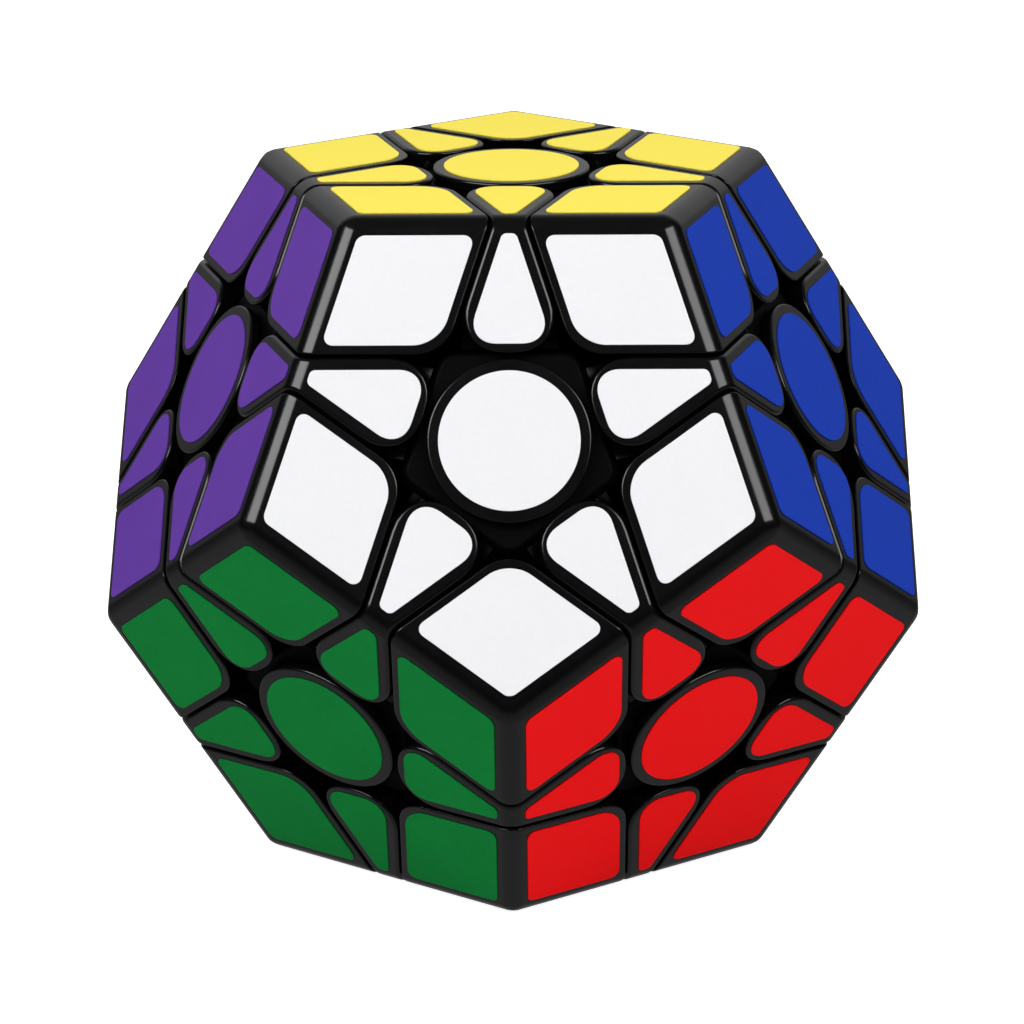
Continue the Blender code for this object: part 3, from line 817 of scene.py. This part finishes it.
# ---- Stickers ----------------------------------------------------------------------------------------
# Eleven die-cut vinyl stickers on each face, one colour a face: a disc on the cap, a lozenge with one
# wide round on each corner and a drop-shaped wedge on each edge. They are stuck flat on the bare plastic.

DISC_RADIUS = 6.65 * MM
LOZENGE_NEAR = 9.04 * MM                          # its sides' distances from the face's centre
LOZENGE_FAR = 19.55 * MM
LOZENGE_ROUNDS = {"near": 3.4 * MM, "far": 0.95 * MM, "side": 0.85 * MM}
WEDGE_SIDE = 6.72 * MM
WEDGE_NEAR = 9.19 * MM
WEDGE_FAR = 19.72 * MM
WEDGE_ROUNDS = {"near": 2.07 * MM, "far": 0.6 * MM}
STICKER_EASE = 0.035 * MM
STICKER_RIM = math.radians(60.0)                  # only its rim bends more than this

STICKER_COLOURS = {
    "yellow": (0.92, 0.77, 0.092), "white": (0.705, 0.705, 0.725), "blue": (0.008, 0.046, 0.45),
    "lime": (0.26, 0.62, 0.05), "orange": (0.94, 0.24, 0.02), "purple": (0.122, 0.042, 0.345),
    "red": (0.96, 0.003, 0.005), "pink": (0.88, 0.22, 0.42), "grey": (0.30, 0.31, 0.33),
    "sky": (0.16, 0.50, 0.83), "green": (0.0005, 0.207, 0.034), "cream": (0.86, 0.78, 0.52),
}
VINYL_ROUGHNESS = 0.42
VINYL_SMOOTHER = 0.04                             # how far its grain brings the roughness down and up
VINYL_ROUGHER = 0.08
VINYL_GRAIN = 0.22 * MM
VINYL_GRAIN_DEPTH = 0.003 * MM
CLOUD_SIZE = 3.0 * MM                             # of the patches where the print is uneven
CLOUD_SHARE = 0.3                                 # of the unevenness; the grain gives the rest
UNEVENNESS = 0.25                                 # of a dark print's colour, up and down


def crossing(first, first_distance, second, second_distance):
    """Where two lines of a face cross, each given by its normal's azimuth and its distance."""
    rows = Matrix(((math.cos(first), math.sin(first)), (math.cos(second), math.sin(second))))
    return (rows.inverted() @ Vector((first_distance, second_distance))).to_3d()


def cut_sticker(bm, name):
    """Gives a flat outline the sticker's thickness and eases its upper rim."""
    top = bmesh.ops.extrude_face_region(bm, geom=bm.faces[:])["geom"]
    raised = [part for part in top if isinstance(part, bmesh.types.BMVert)]
    bmesh.ops.translate(bm, vec=(0.0, 0.0, STICKER_THICKNESS), verts=raised)
    bmesh.ops.translate(bm, vec=(0.0, 0.0, SKIN), verts=bm.verts)
    bmesh.ops.recalc_face_normals(bm, faces=bm.faces)
    rim = [edge for edge in bm.edges if edge.calc_face_angle(0.0) > STICKER_RIM]
    upper = [edge for edge in rim if min(vert.co.z for vert in edge.verts) > SKIN + STICKER_THICKNESS / 2.0]
    bevel(bm, upper, STICKER_EASE, segments=2)
    return moulded(name, mesh_from(bm, name))


def rounded_outline(points, rounds):
    """A flat face with each corner rounded to its own radius."""
    bm = bmesh.new()
    verts = [bm.verts.new(point) for point in points]
    bm.faces.new(verts)
    count = len(points)
    widths = []
    for number, radius in enumerate(rounds):
        back = (points[number - 1] - points[number]).normalized()
        ahead = (points[(number + 1) % count] - points[number]).normalized()
        widths.append(radius / math.tan(back.angle(ahead) / 2.0))
    for vert, width in zip(verts, widths):
        bmesh.ops.bevel(
            bm, geom=[vert], offset=width, offset_type="OFFSET", segments=10, profile=0.5, affect="VERTICES",
            material=-1, clamp_overlap=True)
    return bm


def disc_sticker():
    bm = bmesh.new()
    bmesh.ops.create_circle(bm, cap_ends=True, segments=2 * ROUND_STEPS, radius=DISC_RADIUS)
    return cut_sticker(bm, "disc")


def lozenge_sticker():
    """Lies between the neighbour along +X and the next one round."""
    corners = (
        (LOZENGE_NEAR, LOZENGE_NEAR), (LOZENGE_FAR, LOZENGE_NEAR), (LOZENGE_FAR, LOZENGE_FAR),
        (LOZENGE_NEAR, LOZENGE_FAR))
    points = [crossing(0.0, first, FACE_STEP, second) for first, second in corners]
    rounds = [LOZENGE_ROUNDS[name] for name in ("near", "side", "far", "side")]
    return cut_sticker(rounded_outline(points, rounds), "lozenge")


def wedge_sticker():
    """Lies towards the neighbour along +X."""
    corners = (
        (WEDGE_NEAR, -FACE_STEP), (WEDGE_FAR, -FACE_STEP), (WEDGE_FAR, FACE_STEP), (WEDGE_NEAR, FACE_STEP))
    points = [crossing(0.0, distance, side, WEDGE_SIDE) for distance, side in corners]
    rounds = [WEDGE_ROUNDS[name] for name in ("near", "far", "far", "near")]
    return cut_sticker(rounded_outline(points, rounds), "wedge")


def vinyl(name, colour):
    """Printed soft vinyl: satin, with a fine grain and faintly uneven colour, the more so in deep ones."""
    made = Finish(name, VINYL_ROUGHNESS, specular=0.06)
    grain = made.speckle(VINYL_GRAIN)
    clouds = made.speckle(CLOUD_SIZE, seed=0.5)
    unevenness = UNEVENNESS * (1.0 - max(colour)) ** 2
    deeper = tuple((1.0 - unevenness) * part for part in colour) + (1.0,)
    lighter = tuple((1.0 + unevenness) * part for part in colour) + (1.0,)
    shade = made.spread((1.0 - CLOUD_SHARE) * grain + CLOUD_SHARE * clouds, 0.0, 1.0)
    made.wear(
        Base_Color=made.mix(shade, deeper, lighter),
        Roughness=made.spread(grain, VINYL_ROUGHNESS - VINYL_SMOOTHER, VINYL_ROUGHNESS + VINYL_ROUGHER),
        Normal=made.relief(grain, VINYL_GRAIN_DEPTH))
    return made.material


def ring_of(face):
    """A face's neighbours in order round it, the first one along the centre's own +X."""
    turn = centre_place(face).inverted()

    def azimuth(other):
        level = turn @ AXES[other]
        return (math.atan2(level.y, level.x) + FACE_STEP / 2.0) % FULL_TURN

    return sorted(neighbours(face), key=azimuth)


disc = disc_sticker()
lozenge = lozenge_sticker()
wedge = wedge_sticker()
order = list(AXES)
for face in AXES:
    around = ring_of(face)
    groups = {body_of([face]): [(disc, Matrix(), centre_node(face, "centre_cap"))]}
    for number, other in enumerate(around):
        following = around[(number + 1) % len(around)]
        turn = Matrix.Rotation(number * FACE_STEP, 4, "Z")
        pair = sorted((face, other), key=order.index)
        triple = sorted((face, other, following), key=order.index)
        groups.setdefault(body_of(pair), []).append((wedge, turn, node_of(pair, "edge")))
        groups.setdefault(body_of(triple), []).append((lozenge, turn, node_of(triple, "corner")))
    colour = vinyl(face + "_vinyl_film", STICKER_COLOURS[face])
    for body, cut in groups.items():
        bm = bmesh.new()
        for mesh, turn, node in cut:
            bm.from_mesh(copy_at(mesh, centre_place(face) @ turn))
        film = bpy.data.meshes.new(face + "_film")
        bm.to_mesh(film)
        bm.free()
        finish_piece(
            face + "_stickers_on_" + body, film, colour, body, face + "_vinyl",
            *sorted(set(node for mesh, turn, node in cut)))


# ---- Floor and light ---------------------------------------------------------------------------------
# A plain pale sweep under the puzzle, see-through from below. Two softboxes in front of it give the
# highlights; two fill lamps, over it and behind the camera, and an even white surround give the rest.

FLOOR_SIZE = 6.0
FLOOR_GAP = 0.05 * MM
FLOOR_COLOUR = (0.64, 0.64, 0.64, 1.0)
FLOOR_GLOW = 0.92                                 # seen by the camera only
WHITE = (1.0, 1.0, 1.0, 1.0)
UNLIT = (0.0, 0.0, 0.0, 1.0)

# The surround's brightness in a reflection and on a matt surface. Each range of a direction's height or
# depth, from -1 to 1, is mapped to a range of brightness.
MIRRORED_LEAST = 0.02
MIRRORED_FLOOR = (-0.45, -0.10, 0.22, 0.0)
MIRRORED_CEILING = (0.75, 0.95, 0.0, 0.06)
MIRRORED_BACK = (0.40, 0.90, 0.0, 0.46)
MIRRORED_BACK_RISE = (-0.08, 0.22, 0.15, 1.0)
SCATTERED_LEAST = 0.14
SCATTERED_BACK = (0.30, 0.80, 0.0, 0.5)

bm = bmesh.new()
bmesh.ops.create_grid(bm, x_segments=2, y_segments=2, size=FLOOR_SIZE / 2.0)
bmesh.ops.translate(bm, vec=(0.0, 0.0, -INRADIUS - FLOOR_GAP), verts=bm.verts)
floor = placed_in_scene("floor", mesh_from(bm, "floor"))
# An open sheet has no outside, so its face is turned up here.
if floor.data.polygons[0].normal.z < 0.0:
    floor.data.flip_normals()
paper = Finish("white_paper", roughness=0.8)
seen = paper.node("ShaderNodeLightPath", {}, {}, "Is Camera Ray")
underside = paper.node("ShaderNodeNewGeometry", {}, {}, "Backfacing")
paper.wear(
    Base_Color=FLOOR_COLOUR, Alpha=1.0 - underside, Emission_Color=paper.mix(seen, UNLIT, WHITE),
    Emission_Strength=FLOOR_GLOW)
floor.data.materials.append(paper.material)
floor.visible_glossy = False


def softbox(name, azimuth, elevation, distance, width, height, glow, reflected=True):
    """A rectangular lamp that looks at the puzzle, placed in degrees and metres; glow is its radiance."""
    lamp = bpy.data.lights.new(name, "AREA")
    lamp.shape = "RECTANGLE"
    lamp.size = width
    lamp.size_y = height
    lamp.energy = math.pi * width * height * glow
    stand = bpy.data.objects.new(name, lamp)
    bpy.context.scene.collection.objects.link(stand)
    stand.location = direction(math.radians(azimuth), math.radians(elevation)) * distance
    stand.rotation_mode = "QUATERNION"
    stand.rotation_quaternion = stand.location.to_track_quat("Z", "Y")
    stand.visible_glossy = reflected


softbox("left_softbox", azimuth=-49.0, elevation=40.0, distance=0.6, width=0.45, height=0.22, glow=6.0)
softbox("right_softbox", azimuth=47.0, elevation=40.0, distance=0.6, width=0.44, height=0.22, glow=5.0)
softbox(
    "top_softbox", azimuth=0.0, elevation=82.0, distance=0.6, width=0.6, height=0.5, glow=1.4,
    reflected=False)
softbox(
    "front_softbox", azimuth=0.0, elevation=8.0, distance=1.0, width=0.9, height=0.5, glow=1.6,
    reflected=False)

surround = bpy.data.worlds.new("studio")
surround.use_nodes = True
bpy.context.scene.world = surround
studio = Nodes(surround.node_tree)
towards = studio.node("ShaderNodeTexCoord", {}, {}, "Generated")
back_wall = studio.node("ShaderNodeSeparateXYZ", {}, {"Vector": towards}, "Y")
height = studio.node("ShaderNodeSeparateXYZ", {}, {"Vector": towards}, "Z")
mirrored = (
    MIRRORED_LEAST + studio.ramp(height, *MIRRORED_FLOOR) + studio.ramp(height, *MIRRORED_CEILING)
    + studio.ramp(back_wall, *MIRRORED_BACK) * studio.ramp(height, *MIRRORED_BACK_RISE))
is_camera = studio.node("ShaderNodeLightPath", {}, {}, "Is Camera Ray")
is_glossy = studio.node("ShaderNodeLightPath", {}, {}, "Is Glossy Ray")
scattered = SCATTERED_LEAST + studio.ramp(back_wall, *SCATTERED_BACK)
lit = scattered * (1.0 - is_glossy) + is_glossy * mirrored
background = surround.node_tree.nodes["Background"].inputs
studio.feed(background["Color"], WHITE)
studio.feed(background["Strength"], is_camera + (1.0 - is_camera) * lit)


# ---- Camera ------------------------------------------------------------------------------------------
# A long lens in front of the white face, a little above the puzzle, so that its yellow top shows as a
# narrow band. It stands a touch to the right of the middle.

CAMERA_AZIMUTH = math.radians(0.64)
CAMERA_ELEVATION = math.radians(17.56)
CAMERA_DISTANCE = 440.3 * MM
CAMERA_ROLL = math.radians(-0.36)
AIM_RIGHT = -0.148 * MM
AIM_UP = -1.367 * MM
LENS = 153.4                                      # and the sensor's width, in millimetres
SENSOR = 36.0

lens = bpy.data.cameras.new("camera")
lens.lens = LENS
lens.sensor_width = SENSOR
lens.clip_start = 0.01
lens.clip_end = 20.0
camera = bpy.data.objects.new("camera", lens)
bpy.context.scene.collection.objects.link(camera)
back = direction(CAMERA_AZIMUTH, CAMERA_ELEVATION)
right = Vector((0.0, 0.0, 1.0)).cross(back).normalized()
aim = right * AIM_RIGHT + back.cross(right) * AIM_UP
camera.location = back * CAMERA_DISTANCE
camera.rotation_mode = "QUATERNION"
look = (camera.location - aim).to_track_quat("Z", "Y")
camera.rotation_quaternion = look @ Matrix.Rotation(CAMERA_ROLL, 3, "Z").to_quaternion()
bpy.context.scene.camera = camera
bpy.context.scene.view_settings.view_transform = "Standard"
